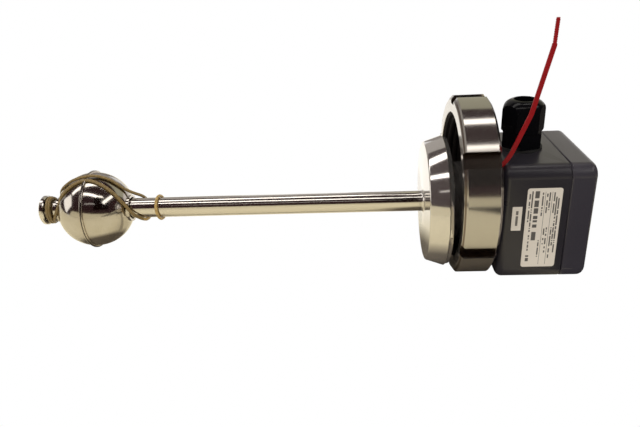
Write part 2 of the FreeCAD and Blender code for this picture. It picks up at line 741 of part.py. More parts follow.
def lead_wires():
    """Leads from the board's upper end to the terminal block."""
    start_z = TUBE_SOCKET - BOARD_END_GAP
    end_z = BLOCK_Z + LEAD_HEIGHT
    bend = LEAD_BEND_R
    dip = bend * (1 - math.sqrt(0.5))
    leads = []
    for index in range(LEAD_COUNT):
        y = (index - (LEAD_COUNT - 1) / 2) * LEAD_PITCH
        start = Vector(0, y, start_z)
        rise = Vector(0, y, end_z - bend)
        middle = Vector(dip, y, end_z - dip)
        turned = Vector(bend, y, end_z)
        path = Part.Wire([
            Part.LineSegment(start, rise).toShape(),
            Part.Arc(rise, middle, turned).toShape(),
            Part.LineSegment(turned, Vector(BLOCK_X, y, end_z)).toShape(),
        ])
        section = Part.Wire(Part.makeCircle(LEAD_R, start, Z_AXIS))
        leads.append(path.makePipeShell([section], True, True))
    return Part.makeCompound(leads)


def terminal_places():
    """Places of the clamping screws along the block."""
    x = BLOCK_X + BLOCK_DEPTH / 2
    return [(x, (index - (TERMINALS - 1) / 2) * TERMINAL_PITCH) for index in range(TERMINALS)]


def terminal_block():
    top = BLOCK_Z + BLOCK_HEIGHT
    half = BLOCK_LENGTH / 2
    body = block(BLOCK_X, BLOCK_X + BLOCK_DEPTH, -half, half, BLOCK_Z, top)
    for x, y in terminal_places():
        body = body.cut(Part.makeCylinder(TERMINAL_R + TOUCH_GAP, TERMINAL_DEPTH, Vector(x, y, top - TERMINAL_DEPTH)))
    seat = BLOCK_Z + BLOCK_HEIGHT / 2
    for x, y in block_screw_places():
        shaft = Part.makeCylinder(BLOCK_SCREW_R + LOOSE_GAP, BLOCK_HEIGHT, Vector(x, y, BLOCK_Z))
        well = Part.makeCylinder(BLOCK_SCREW_HEAD_R + LOOSE_GAP, top - seat, Vector(x, y, seat))
        body = body.cut(shaft).cut(well)
    return body


def terminal_screws():
    seat = BLOCK_Z + BLOCK_HEIGHT - TERMINAL_DEPTH
    screws = []
    for x, y in terminal_places():
        screw = Part.makeCylinder(TERMINAL_R, TERMINAL_DEPTH - LOOSE_GAP, Vector(x, y, seat))
        slot = block(x - TERMINAL_R, x + TERMINAL_R, y - SCREW_SLOT / 2, y + SCREW_SLOT / 2,
                     seat + TERMINAL_DEPTH / 2, seat + TERMINAL_DEPTH)
        screws.append(screw.cut(slot))
    return Part.makeCompound(screws)


def block_screws():
    seat = BLOCK_Z + BLOCK_HEIGHT / 2
    shank = BLOCK_HEIGHT / 2 + BOSS_HEIGHT - LOOSE_GAP
    return Part.makeCompound([
        pan_screw(x, y, seat, shank, BLOCK_SCREW_HEAD_R, BLOCK_SCREW_R)
        for x, y in block_screw_places()])


def earth_screw():
    """Earth terminal: clamping plate under a pan-head screw."""
    seat = HEAD_FLOOR_Z + EARTH_PLATE_THICK
    half = EARTH_PLATE / 2
    plate = block(EARTH_X - half, EARTH_X + half, EARTH_Y - half, EARTH_Y + half, HEAD_FLOOR_Z, seat)
    shank = EARTH_PLATE_THICK + HEAD_FLOOR - 2 * LOOSE_GAP
    return plate.fuse(pan_screw(EARTH_X, EARTH_Y, seat, shank)).removeSplitter()


# ---- output -------------------------------------------------------------

def build_parts():
    return {
        "guide_tube": guide_tube(),
        "end_stop": end_stop(),
        "liner": liner(),
        "neck_gasket": neck_gasket(),
        "neck_screws": neck_screws(),
        "union_nut": union_nut(),
        "housing_base": housing_base(),
        "housing_lid": housing_lid(),
        "lid_gasket": lid_gasket(),
        "lid_screws": lid_screws(),
        "gland_washer": gland_washer(),
        "gland_body": gland_body(),
        "gland_locknut": gland_locknut(),
        "gland_seal": gland_seal(),
        "gland_cap": gland_cap(),
        "float_lower_half": float_half(-1),
        "float_upper_half": float_half(1),
        "float_bore_tube": float_bore_tube(),
        "float_magnet": float_magnet(),
        "rubber_band": rubber_band(),
        "rubber_band_loop": rubber_band_loop(),
        "cable_tie": cable_tie(),
        "reed_board": reed_board(),
        "reed_switches": reed_switches(),
        "lead_wires": lead_wires(),
        "terminal_block": terminal_block(),
        "terminal_screws": terminal_screws(),
        "block_screws": block_screws(),
        "earth_screw": earth_screw(),
    }


def main():
    os.makedirs("parts", exist_ok=True)
    for name, shape in build_parts().items():
        shape.exportStep("parts/" + name + ".step")
        print(name, len(shape.Solids), "solids, valid", shape.isValid(), round(shape.Volume, 1), "mm3")


main()
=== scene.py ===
import math

import bpy
from bpy.props import FloatProperty, FloatVectorProperty, IntProperty, PointerProperty
from mathutils import Matrix, Vector


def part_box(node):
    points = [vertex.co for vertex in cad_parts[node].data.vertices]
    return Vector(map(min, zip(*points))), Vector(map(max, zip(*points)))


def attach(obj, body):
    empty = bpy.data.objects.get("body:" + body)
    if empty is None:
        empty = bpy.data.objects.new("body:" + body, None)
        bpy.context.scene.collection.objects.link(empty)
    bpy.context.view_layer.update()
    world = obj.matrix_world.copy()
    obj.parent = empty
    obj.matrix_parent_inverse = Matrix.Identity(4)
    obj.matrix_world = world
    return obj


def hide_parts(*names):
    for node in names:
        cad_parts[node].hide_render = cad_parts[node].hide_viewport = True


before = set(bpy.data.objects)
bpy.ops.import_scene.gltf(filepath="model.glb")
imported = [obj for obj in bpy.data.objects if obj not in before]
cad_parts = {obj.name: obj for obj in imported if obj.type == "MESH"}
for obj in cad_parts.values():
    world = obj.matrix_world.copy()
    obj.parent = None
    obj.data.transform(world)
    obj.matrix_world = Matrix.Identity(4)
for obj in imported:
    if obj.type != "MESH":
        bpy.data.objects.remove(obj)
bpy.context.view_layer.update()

bl_info = {
    "name": "Float Level Switch",
    "version": (1, 0, 0),
    "blender": (4, 5, 0),
    "location": "View3D > Sidebar > Level Switch",
    "description": "Dresses the float level switch: metals, paint, labels, bands and its studio",
    "category": "Object",
}

MM = 0.001
NUT_LOW, NUT_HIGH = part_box("union_nut")
BASE_LOW, BASE_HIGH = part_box("housing_base")
LID_LOW, LID_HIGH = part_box("housing_lid")
TUBE_LOW, TUBE_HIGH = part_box("guide_tube")
BORE_LOW, BORE_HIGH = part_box("float_bore_tube")
BAND_LOW, BAND_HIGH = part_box("rubber_band")
LOOP_LOW, LOOP_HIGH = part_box("rubber_band_loop")
NECK_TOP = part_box("liner")[1].z

TUBE_R = (TUBE_HIGH.x - TUBE_LOW.x) / 2
FLOAT_Z = (BORE_LOW.z + BORE_HIGH.z) / 2
NUT_X = (NUT_LOW.x + NUT_HIGH.x) / 2
NUT_Z = (NUT_LOW.z + NUT_HIGH.z) / 2
NUT_R = NUT_HIGH.x - NUT_X
NUT_WALL = 12.2 * MM
NUT_BORE_R = NUT_R - NUT_WALL
FRONT_Y = BASE_LOW.y


# ---- settings -----------------------------------------------------------

class MetalSettings(bpy.types.PropertyGroup):
    steel: FloatVectorProperty(
        name="Steel", description="Colour of the polished stainless steel",
        subtype="COLOR", size=3, min=0, max=1, default=(0.66, 0.63, 0.60))
    thread_pitch: FloatProperty(
        name="Thread pitch", description="Rise of the union nut's round thread in one turn",
        unit="LENGTH", default=4.23 * MM)
    thread_radius: FloatProperty(
        name="Thread wall", description="Radius of the union nut's bore under the thread",
        unit="LENGTH", default=NUT_BORE_R)
    thread_turns: IntProperty(
        name="Thread turns", description="Turns of thread inside the nut", default=3, min=1)


class LinerSettings(bpy.types.PropertyGroup):
    face_radius: FloatProperty(
        name="Face radius", description="Radius of the liner's sealing face",
        unit="LENGTH", default=40.7 * MM)
    crest_radius: FloatProperty(
        name="Crest radius", description="Radius of the cone at its widest",
        unit="LENGTH", default=44.8 * MM)
    cone_length: FloatProperty(
        name="Cone length", description="Length of the cone from the face to the crest",
        unit="LENGTH", default=12.2 * MM)
    ring_radius: FloatProperty(
        name="Ring radius", description="Radius of the ring behind the crest",
        unit="LENGTH", default=43.6 * MM)
    ring_length: FloatProperty(
        name="Ring length", description="Length of the ring behind the crest",
        unit="LENGTH", default=2.9 * MM)
    weld_size: FloatProperty(
        name="Weld size", description="Reach of the weld between the tube and the face",
        unit="LENGTH", default=1.9 * MM)


class HeadSettings(bpy.types.PropertyGroup):
    paint: FloatVectorProperty(
        name="Paint", description="Colour of the connection head",
        subtype="COLOR", size=3, min=0, max=1, default=(0.022, 0.0195, 0.0255))
    corner_round: FloatProperty(
        name="Corner round", description="Radius of the head's four upright corners",
        unit="LENGTH", default=8.5 * MM)
    edge_round: FloatProperty(
        name="Edge round", description="Radius of the head's edges round its floor and roof",
        unit="LENGTH", default=4.5 * MM)
    parting_chamfer: FloatProperty(
        name="Parting chamfer", description="Chamfer on both sides of the line between base and lid",
        unit="LENGTH", default=0.7 * MM)
    plate_cream: FloatVectorProperty(
        name="Plate", description="Ground colour of the rating plate",
        subtype="COLOR", size=3, min=0, max=1, default=(0.80, 0.72, 0.61))
    plate_thickness: FloatProperty(
        name="Plate thickness", description="Thickness of the rating plate",
        unit="LENGTH", default=0.25 * MM)


class TieSettings(bpy.types.PropertyGroup):
    rubber: FloatVectorProperty(
        name="Rubber", description="Colour of the rubber band",
        subtype="COLOR", size=3, min=0, max=1, default=(0.47, 0.31, 0.10))
    nylon: FloatVectorProperty(
        name="Nylon", description="Colour of the cable tie",
        subtype="COLOR", size=3, min=0, max=1, default=(0.33, 0.004, 0.007))
    band_width: FloatProperty(
        name="Band width", description="Width of the rubber band's strands",
        unit="LENGTH", default=2.2 * MM)
    band_thickness: FloatProperty(
        name="Band thickness", description="Thickness of the rubber band's strands",
        unit="LENGTH", default=1.35 * MM)


# ---- shader expressions -------------------------------------------------

class Wire:
    """A node socket that takes part in Python arithmetic by adding Math nodes."""

    def __init__(self, shader, socket):
        self.shader = shader
        self.socket = socket

    def math(self, operation, *others):
        settings = {"operation": operation}
        values = dict(enumerate((self,) + others))
        return self.shader.node("ShaderNodeMath", settings, values)

    def __add__(self, other):
        return self.math("ADD", other)

    def __sub__(self, other):
        return self.math("SUBTRACT", other)

    def __mul__(self, other):
        return self.math("MULTIPLY", other)

    def __truediv__(self, other):
        return self.math("DIVIDE", other)

    def __gt__(self, other):
        return self.math("GREATER_THAN", other)

    def __lt__(self, other):
        return self.math("LESS_THAN", other)

    def __rsub__(self, other):
        return self.shader.number(other).math("SUBTRACT", self)

    __radd__ = __add__
    __rmul__ = __mul__

    def power(self, exponent):
        return self.math("POWER", exponent)

    def distance(self, centre):
        return self.math("SUBTRACT", centre).math("ABSOLUTE")

    def clamp(self):
        return self.shader.node("ShaderNodeClamp", {}, {"Value": self})


class Shader:
    """A material, or a world, whose nodes are written as short expressions."""

    def __init__(self, name, kept_in="materials", output="ShaderNodeOutputMaterial"):
        self.owner = getattr(bpy.data, kept_in).new(name)
        self.owner.use_nodes = True
        self.tree = self.owner.node_tree
        self.tree.nodes.clear()
        self.output = self.tree.nodes.new(output)

    def node(self, kind, settings, inputs, output=0):
        """Adds a node of a type with its settings, then the values or wires of its sockets."""
        made = self.tree.nodes.new(kind)
        for key, value in settings.items():
            if key == "stops":
                self.set_stops(made.color_ramp, value)
            else:
                setattr(made, key, value)
        for key, value in inputs.items():
            self.feed(made.inputs[key], value)
        return Wire(self, made.outputs[output])

    def set_stops(self, ramp, stops):
        while len(ramp.elements) < len(stops):
            ramp.elements.new(1.0)
        for element, (place, colour) in zip(ramp.elements, stops):
            element.position = place
            element.color = (*colour, 1.0)

    def feed(self, socket, value):
        if isinstance(value, Wire):
            self.tree.links.new(value.socket, socket)
        elif isinstance(value, (tuple, list)) and len(value) == 3 and socket.type == "RGBA":
            socket.default_value = (*value, 1.0)
        else:
            socket.default_value = value

    def number(self, value):
        made = self.node("ShaderNodeValue", {}, {})
        made.socket.default_value = value
        return made

    def place(self):
        return self.node("ShaderNodeTexCoord", {}, {}, "Object")

    def axes(self, vector=None):
        """X, Y and Z of a place, each as a wire."""
        split = self.node("ShaderNodeSeparateXYZ", {}, {"Vector": vector or self.place()})
        return [Wire(self, socket) for socket in split.socket.node.outputs]

    def mapped(self, location=(0, 0, 0), scale=(1, 1, 1)):
        values = {"Vector": self.place(), "Location": location, "Scale": scale}
        return self.node("ShaderNodeMapping", {}, values)

    def noise(self, scale, detail=2.0, roughness=0.5, vector=None):
        values = {
            "Vector": vector or self.place(), "Scale": scale, "Detail": detail, "Roughness": roughness}
        return self.node("ShaderNodeTexNoise", {}, values, "Fac")

    def ramp(self, factor, stops):
        return self.node("ShaderNodeValToRGB", {"stops": stops}, {"Fac": factor}, "Color")

    def blend(self, factor, first, second):
        """Colour between two others; a Mix node keeps its colour sockets at these numbers."""
        factor_socket, first_socket, second_socket, colour_output = 0, 6, 7, 2
        values = {factor_socket: factor, first_socket: first, second_socket: second}
        return self.node("ShaderNodeMix", {"data_type": "RGBA"}, values, colour_output)

    def spread(self, factor, low, high):
        """Stretches 0 to 1 over low to high."""
        values = {"Value": factor, "To Min": low, "To Max": high}
        return self.node("ShaderNodeMapRange", {}, values)

    def bump(self, height, distance, strength=1.0):
        values = {"Height": height, "Distance": distance, "Strength": strength}
        return self.node("ShaderNodeBump", {}, values)

    def step(self, value, start, end):
        """0 at start and before, 1 at end and past it."""
        return self.node("ShaderNodeMapRange", {}, {"Value": value, "From Min": start, "From Max": end})

    def show(self, surface):
        self.tree.links.new(surface.socket, self.output.inputs["Surface"])
        return self.owner

    def finish(self, **sockets):
        """Principled surface; keyword names are its sockets with _ for blanks."""
        values = {key.replace("_", " "): value for key, value in sockets.items()}
        return self.show(self.node("ShaderNodeBsdfPrincipled", {}, values))


# ---- materials ----------------------------------------------------------

def shade(colour, factor):
    """Lighter or darker version of a colour, at most white."""
    return tuple(min(1.0, part * factor) for part in colour)


def length_of(first, second):
    """Length of a flat vector from its two parts."""
    return (first * first + second * second).power(0.5)


def turned_rings(shader, centre_x, scale):
    """Noise that varies only with the distance from an upright axis."""
    x, y, z = shader.axes(shader.mapped(location=(-centre_x, 0, 0)))
    line = shader.node("ShaderNodeCombineXYZ", {}, {"X": length_of(x, y)})
    return shader.noise(scale, 3.0, 0.7, line)


def wrapped_lines(shader, scale):
    """Noise that varies only with height, as a lathe tool leaves it."""
    x, y, z = shader.axes()
    line = shader.node("ShaderNodeCombineXYZ", {}, {"Z": z})
    return shader.noise(scale, 3.0, 0.7, line)


SEAM_HALF = 0.35 * MM
HEAT_REACH = 3.0 * MM


def ball_steel(colour):
    """Spun and polished ball with a heat-tinted weld at its equator."""
    s = Shader("spun_steel")
    x, y, z = s.axes()
    from_seam = z.distance(FLOAT_Z)
    near_seam = 1 - (from_seam / HEAT_REACH).clamp()
    groove = from_seam < SEAM_HALF
    smudge = s.noise(60.0, 4.0, 0.6)
    patch = s.noise(130.0, 3.0, 0.6)
    tint = s.blend(near_seam * 0.4, shade(colour, 0.86), (0.38, 0.31, 0.24))
    tint = s.blend(s.spread(patch, 0.0, 0.6), tint, (0.40, 0.35, 0.28))
    tint = s.blend(groove * 0.85, tint, (0.05, 0.04, 0.04))
    rough = s.spread(smudge, 0.09, 0.17) + near_seam * 0.05 + groove * 0.3
    spun = wrapped_lines(s, 900.0)
    ripple = s.noise(1500.0, 2.0)
    height = spun * 0.5 + ripple * near_seam
    return s.finish(
        Base_Color=tint, Metallic=1.0, Roughness=rough, Normal=s.bump(height, 0.010 * MM, 0.5))


def tube_steel(colour):
    """Drawn tube, polished across, with faint blotches along it."""
    s = Shader("drawn_steel")
    blotch = s.noise(40.0, 4.0, 0.6)
    rough = s.spread(blotch, 0.09, 0.19)
    tint = s.blend(s.spread(blotch, 0.0, 0.25), colour, (0.66, 0.60, 0.50))
    lines = wrapped_lines(s, 2600.0)
    return s.finish(
        Base_Color=tint, Metallic=1.0, Roughness=rough, Normal=s.bump(lines, 0.02 * MM, 0.5))


def liner_steel(colour):
    """Turned and polished cone with fine rings on its sealing face."""
    s = Shader("polished_steel")
    rings = turned_rings(s, 0, 1400.0)
    cloud = s.noise(25.0, 3.0)
    rough = s.spread(cloud, 0.07, 0.14)
    film = s.spread(s.noise(400.0, 4.0), 0.86, 0.96)
    return s.finish(
        Base_Color=colour, Metallic=film, Roughness=rough, Specular_IOR_Level=0.2,
        Normal=s.bump(rings, 0.015 * MM, 0.45))


# reach of the painted shade in the bore past the thread's root
BORE_SHADE_REACH = 1.3 * MM
NUT_END_SKIN = 0.3 * MM
NUT_RIM_SKIN = 1.2 * MM


def nut_steel(colour):
    """Turned nut: rings on its ends, lathe lines round its rim, and painted shade in its slots and in
    its bore, which is near black.
    """
    s = Shader("milled_steel")
    rings = turned_rings(s, NUT_X, 1100.0)
    lines = wrapped_lines(s, 1800.0)
    cloud = s.noise(30.0, 3.0)
    x, y, z = s.axes(s.mapped(location=(-NUT_X, 0, 0)))
    radius = length_of(x, y)
    # painted shade: the bore and thread are painted near black, rough and not metal
    bore = radius < NUT_BORE_R + BORE_SHADE_REACH
    between_ends = z.distance(NUT_Z) < (NUT_HIGH.z - NUT_LOW.z) / 2 - NUT_END_SKIN
    # painted shade: the slots, sunk below the rim between the ends, are painted dark brown
    slot_shade = (radius < NUT_R - NUT_RIM_SKIN) * between_ends
    tint = s.blend(s.spread(cloud, 0.0, 0.3), shade(colour, 0.70), (0.48, 0.43, 0.36))
    tint = s.blend(slot_shade * 0.75, tint, (0.10, 0.06, 0.04))
    tint = s.blend(bore * 0.96, tint, (0.012, 0.010, 0.010))
    rough = s.spread(cloud, 0.09, 0.18) + bore * 0.5 + slot_shade * 0.10
    film = s.spread(s.noise(400.0, 4.0), 0.93, 0.99)
    metal = (film + slot_shade * 0.2).clamp() * (1 - bore)
    return s.finish(
        Base_Color=tint, Metallic=metal, Roughness=rough, Specular_IOR_Level=0.1,
        Normal=s.bump(rings + lines, 0.018 * MM, 0.5))


def head_paint(name, colour):
    """Smooth baked enamel with a fine orange-peel skin and a clear gloss."""
    s = Shader(name)
    peel = s.noise(1100.0, 2.0)
    cloud = s.noise(22.0, 3.0)
    tint = s.blend(cloud, shade(colour, 0.85), shade(colour, 1.15))
    return s.finish(
        Base_Color=tint, Roughness=s.spread(cloud, 0.24, 0.34), Normal=s.bump(peel, 0.04 * MM, 0.3))


def plain_metal(name, colour, low, high):
    """Small steel parts with a slightly uneven sheen."""
    s = Shader(name)
    cloud = s.noise(300.0, 3.0)
    return s.finish(
        Base_Color=colour, Metallic=1.0, Roughness=s.spread(cloud, low, high),
        Normal=s.bump(cloud, 0.01 * MM, 0.4))


def moulded_plastic(name, colour, low, high, grain=900.0, depth=0.02, shine=0.5):
    """Moulded plastic with a faint grain; shine is its specular level."""
    s = Shader(name)
    cloud = s.noise(90.0, 3.0)
    fine = s.noise(grain, 2.0)
    return s.finish(
        Base_Color=s.blend(cloud, shade(colour, 0.8), colour), Roughness=s.spread(cloud, low, high),
        Normal=s.bump(fine, depth * MM, 0.4), Specular_IOR_Level=shine)


def rubber_band_skin(colour):
    """Natural rubber: streaked tan with a soft sheen, with painted shade where it is wound below the
    ball.
    """
    s = Shader("band_rubber")
    streak = s.noise(500.0, 4.0, 0.6)
    tint = s.ramp(streak, [(0.25, shade(colour, 0.5)), (0.55, colour), (0.80, shade(colour, 1.6))])
    x, y, z = s.axes()
    # painted shade: darker below the band's top height, where it is wound below the ball
    tint = s.blend((z < BAND_HIGH.z) * 0.7, tint, shade(colour, 0.25))
    return s.finish(
        Base_Color=tint, Roughness=s.spread(streak, 0.32, 0.50), Normal=s.bump(streak, 0.05 * MM, 0.5))


def reed_glass():
    """Clear greenish glass of the switches."""
    s = Shader("clear_glass")
    cloud = s.noise(400.0, 2.0)
    return s.finish(
        Base_Color=(0.75, 0.85, 0.80), Roughness=s.spread(cloud, 0.05, 0.12), Transmission_Weight=0.7)


def circuit_board():
    """Green board with a faint net of tracks."""
    s = Shader("green_board")
    net = {"Vector": s.mapped(scale=(400, 400, 120)), "Scale": 1.0}
    tracks = s.node("ShaderNodeTexBrick", {}, net, "Fac")
    tint = s.blend(tracks, (0.02, 0.14, 0.05), (0.05, 0.24, 0.09))
    return s.finish(Base_Color=tint, Roughness=s.spread(tracks, 0.35, 0.5))


def band_mask(axis, centre, half_width):
    """1 inside a stripe of an axis, else 0."""
    return axis.distance(centre) < half_width


INK_PIECE = 0.75 * MM
ROW_SHIFT = 61.7


def broken_row(shader, axis, row, piece_length, kept):
    """1 where a row's short pieces are inked, else 0; each row breaks in its own places."""
    piece = (axis / piece_length).math("FLOOR") + ROW_SHIFT * row
    chance = shader.node("ShaderNodeTexWhiteNoise", {"noise_dimensions": "1D"}, {"W": piece}, "Value")
    return chance < kept


def printed_bars(shader, bars):
    """Ink of plain bars and broken rows, each (centre Z, half Z, centre X, half X, kept share)."""
    x, y, z = shader.axes()
    ink = shader.number(0.0)
    for row, (centre_z, half_z, centre_x, half_x, kept) in enumerate(bars):
        bar = band_mask(z, centre_z * MM, half_z * MM) * band_mask(x, centre_x * MM, half_x * MM)
        if kept < 1:
            bar = bar * broken_row(shader, x, row, INK_PIECE, kept)
        ink = ink.math("MAXIMUM", bar)
    return ink


def printed_plate(colour):
    """Cream plate with plain bars and broken rows; X runs along them, Z across."""
    s = Shader("rating_plate")
    cloud = s.noise(35.0, 4.0)
    ink = printed_bars(s, PLATE_BARS)
    ground = s.blend(cloud, shade(colour, 0.86), colour)
    tint = s.blend(ink * 0.9, ground, (0.03, 0.028, 0.03))
    return s.finish(
        Base_Color=tint, Roughness=s.spread(cloud, 0.30, 0.42), Normal=s.bump(cloud, 0.02 * MM, 0.2))


def printed_sticker(colour):
    """Small cream sticker with one broken row."""
    s = Shader("small_sticker")
    cloud = s.noise(60.0, 3.0)
    ink = printed_bars(s, STICKER_BARS)
    tint = s.blend(cloud, shade(colour, 0.9), colour)
    tint = s.blend(ink * 0.85, tint, (0.04, 0.035, 0.035))
    return s.finish(Base_Color=tint, Roughness=s.spread(cloud, 0.40, 0.55))


# plate and sticker: (low X, high X, low Z, high Z, corner) on the front of the head
PLATE = (-23.9, 31.3, 59.2, 80.6, 1.6)
STICKER = (-11.6, 4.9, 50.9, 57.0, 0.4)

# printed rows: centre and half width (Z), centre and half length (X) in millimetres, share inked
PLATE_BARS = (
    (78.6, 0.42, 2.0, 19.0, 0.80), (77.2, 0.42, -1.0, 17.0, 0.75),
    (75.8, 0.40, 14.0, 11.0, 0.80), (75.8, 0.40, -14.0, 7.0, 0.80),
    (74.4, 0.12, 4.0, 25.5, 1.0),
    (73.0, 0.42, -15.0, 6.0, 0.85), (73.0, 0.42, 12.0, 9.0, 0.75),
    (71.5, 0.42, -14.0, 7.0, 0.80), (71.5, 0.42, 9.0, 6.0, 0.80),
    (70.2, 0.12, 4.0, 25.5, 1.0),
    (68.8, 0.42, -13.0, 8.0, 0.80), (68.8, 0.42, 18.0, 6.0, 0.80),
    (65.3, 1.35, -9.0, 13.0, 0.72), (65.3, 1.35, 9.0, 3.0, 1.0),
    (62.4, 0.42, -8.0, 14.0, 0.80), (62.4, 0.42, 14.0, 6.0, 0.80),
    (60.9, 0.42, -11.0, 10.0, 0.75), (62.6, 1.0, 25.0, 2.2, 0.7),
)
STICKER_BARS = ((54.0, 0.75, -3.2, 5.6, 0.72),)


# ---- modelling helpers --------------------------------------------------

def deselect():
    if bpy.context.object and bpy.context.object.mode != "OBJECT":
        bpy.ops.object.mode_set(mode="OBJECT")
    bpy.ops.object.select_all(action="DESELECT")


def take(piece):
    """Makes one object the selected and active one."""
    deselect()
    piece.select_set(True)
    bpy.context.view_layer.objects.active = piece


def settle(piece, name, material):
    """Applies the place to the mesh, names the piece and gives it its material."""
    take(piece)
    bpy.ops.object.transform_apply(location=True, rotation=True, scale=True)
    piece.name = name
    piece.data.name = name
    piece.data.materials.clear()
    piece.data.materials.append(material)
    return piece


def dress(node, material):
    """Gives a CAD node a new material in all its slots."""
    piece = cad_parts[node]
    if not piece.data.materials:
        piece.data.materials.append(material)
    for index in range(len(piece.data.materials)):
        piece.data.materials[index] = material


def apply_modifiers(piece):
    take(piece)
    for modifier in list(piece.modifiers):
        bpy.ops.object.modifier_apply(modifier=modifier.name)


def rounded_corner(corner, before, after, size, steps):
    """Points that round a profile's corner between its two directions away from it."""
    first = Vector(corner) + Vector(before).normalized() * size
    last = Vector(corner) + Vector(after).normalized() * size
    points = []
    for step in range(steps + 1):
        share = step / steps
        near = first.lerp(Vector(corner), share)
        far = Vector(corner).lerp(last, share)
        points.append(tuple(near.lerp(far, share)))
    return points


def turned(profile, steps):
    """Closed profile of (radius, Z) points spun round the upright axis."""
    deselect()
    bpy.ops.mesh.primitive_circle_add(vertices=len(profile), radius=1.0)
    piece = bpy.context.object
    for vertex, (radius, z) in zip(piece.data.vertices, profile):
        vertex.co = (radius, 0, z)
    bpy.ops.object.mode_set(mode="EDIT")
    bpy.ops.mesh.select_all(action="SELECT")
    bpy.ops.mesh.spin(steps=steps, angle=2 * math.pi, center=(0, 0, 0), axis=(0, 0, 1))
    bpy.ops.mesh.select_all(action="SELECT")
    bpy.ops.mesh.remove_doubles(threshold=0.001 * MM)
    bpy.ops.mesh.normals_make_consistent(inside=False)
    bpy.ops.object.mode_set(mode="OBJECT")
    return piece


def bevel_edges(piece, width, segments, chosen):
    """Bevels the edges whose two ends pass a test."""
    take(piece)
    bpy.ops.object.mode_set(mode="EDIT")
    bpy.ops.mesh.select_mode(type="EDGE")
    bpy.ops.mesh.select_all(action="DESELECT")
    bpy.ops.object.mode_set(mode="OBJECT")
    for edge in piece.data.edges:
        first, second = [piece.data.vertices[index].co for index in edge.vertices]
        edge.select = chosen(first, second)
    bpy.ops.object.mode_set(mode="EDIT")
    bpy.ops.mesh.bevel(offset=width, segments=segments, affect="EDGES", clamp_overlap=False)
    bpy.ops.object.mode_set(mode="OBJECT")


def rounded_block(low, high, corner, edge, chamfer, parting_above):
    """Block with round upright corners, a round far end and a chamfered end at the parting."""
    skin = Vector((0.01, 0.01, 0.01)) * MM
    low, high = low - skin, high + skin
    deselect()
    bpy.ops.mesh.primitive_cube_add(size=1.0, location=(low + high) / 2)
    block = bpy.context.object
    block.scale = high - low
    bpy.ops.object.transform_apply(location=True, rotation=True, scale=True)
    parting, far_end = (high.z, low.z) if parting_above else (low.z, high.z)
    near = 0.001 * MM
    bevel_edges(block, corner, 12, lambda a, b: abs(a.z - b.z) > near)
    bevel_edges(block, edge, 8, lambda a, b: abs(a.z - far_end) < near and abs(b.z - far_end) < near)
    bevel_edges(block, chamfer, 1, lambda a, b: abs(a.z - parting) < near and abs(b.z - parting) < near)
    return block


def rounded_plate(name, sizes, thickness, material):
    """Thin plate with round corners, flat on the head's front."""
    low_x, high_x, low_z, high_z, corner = [value * MM for value in sizes]
    deselect()
    bpy.ops.mesh.primitive_plane_add(size=1.0)
    plate = bpy.context.object
    plate.scale = (high_x - low_x, high_z - low_z, 1)
    plate.rotation_euler = (math.pi / 2, 0, 0)
    plate.location = ((low_x + high_x) / 2, FRONT_Y, (low_z + high_z) / 2)
    take(plate)
    bpy.ops.object.transform_apply(location=True, rotation=True, scale=True)
    bpy.ops.object.mode_set(mode="EDIT")
    bpy.ops.mesh.select_all(action="SELECT")
    bpy.ops.mesh.bevel(offset=corner, segments=6, affect="VERTICES")
    bpy.ops.object.mode_set(mode="OBJECT")
    solid = plate.modifiers.new("Thickness", "SOLIDIFY")
    solid.thickness = thickness
    solid.offset = 1.0
    edge = plate.modifiers.new("Edge", "BEVEL")
    edge.width = thickness * 0.4
    edge.segments = 2
    apply_modifiers(plate)
    return settle(plate, name, material)


# ---- pieces -------------------------------------------------------------

class LEVEL_OT_metals(bpy.types.Operator):
    """Polish the tube, end stop, ball and nut, and finish the screws and the magnet"""
    bl_idname = "level_switch.metals"
    bl_label = "Metals"

    def execute(self, context):
        steel = tuple(context.scene.level_metal.steel)
        dress("guide_tube", tube_steel(steel))
        dress("end_stop", bpy.data.materials["drawn_steel"])
        dress("union_nut", nut_steel(steel))
        ball = ball_steel(steel)
        for node in ("float_lower_half", "float_upper_half", "float_bore_tube"):
            dress(node, ball)
        screws = plain_metal("plated_steel", (0.60, 0.59, 0.57), 0.25, 0.40)
        for node in ("neck_screws", "lid_screws", "terminal_screws", "block_screws", "earth_screw"):
            dress(node, screws)
        dress("float_magnet", plain_metal("magnet_grey", (0.10, 0.095, 0.09), 0.45, 0.65))
        return {"FINISHED"}


NECK_R = 26.7 * MM
NECK_WALL = 6.3 * MM
NECK_FLOOR = 12.0 * MM
LINER_PLAY = 0.02 * MM
WELD_STEPS = 6
CONE_LEAN = 0.32
FACE_ROUND = 1.1 * MM
CREST_ROUND = 0.5 * MM
RING_ROUND = 0.7 * MM

# where the crest's back meets the ring: reach past the ring, rise from the crest
CREST_BACK = (0.35 * MM, 0.45 * MM)


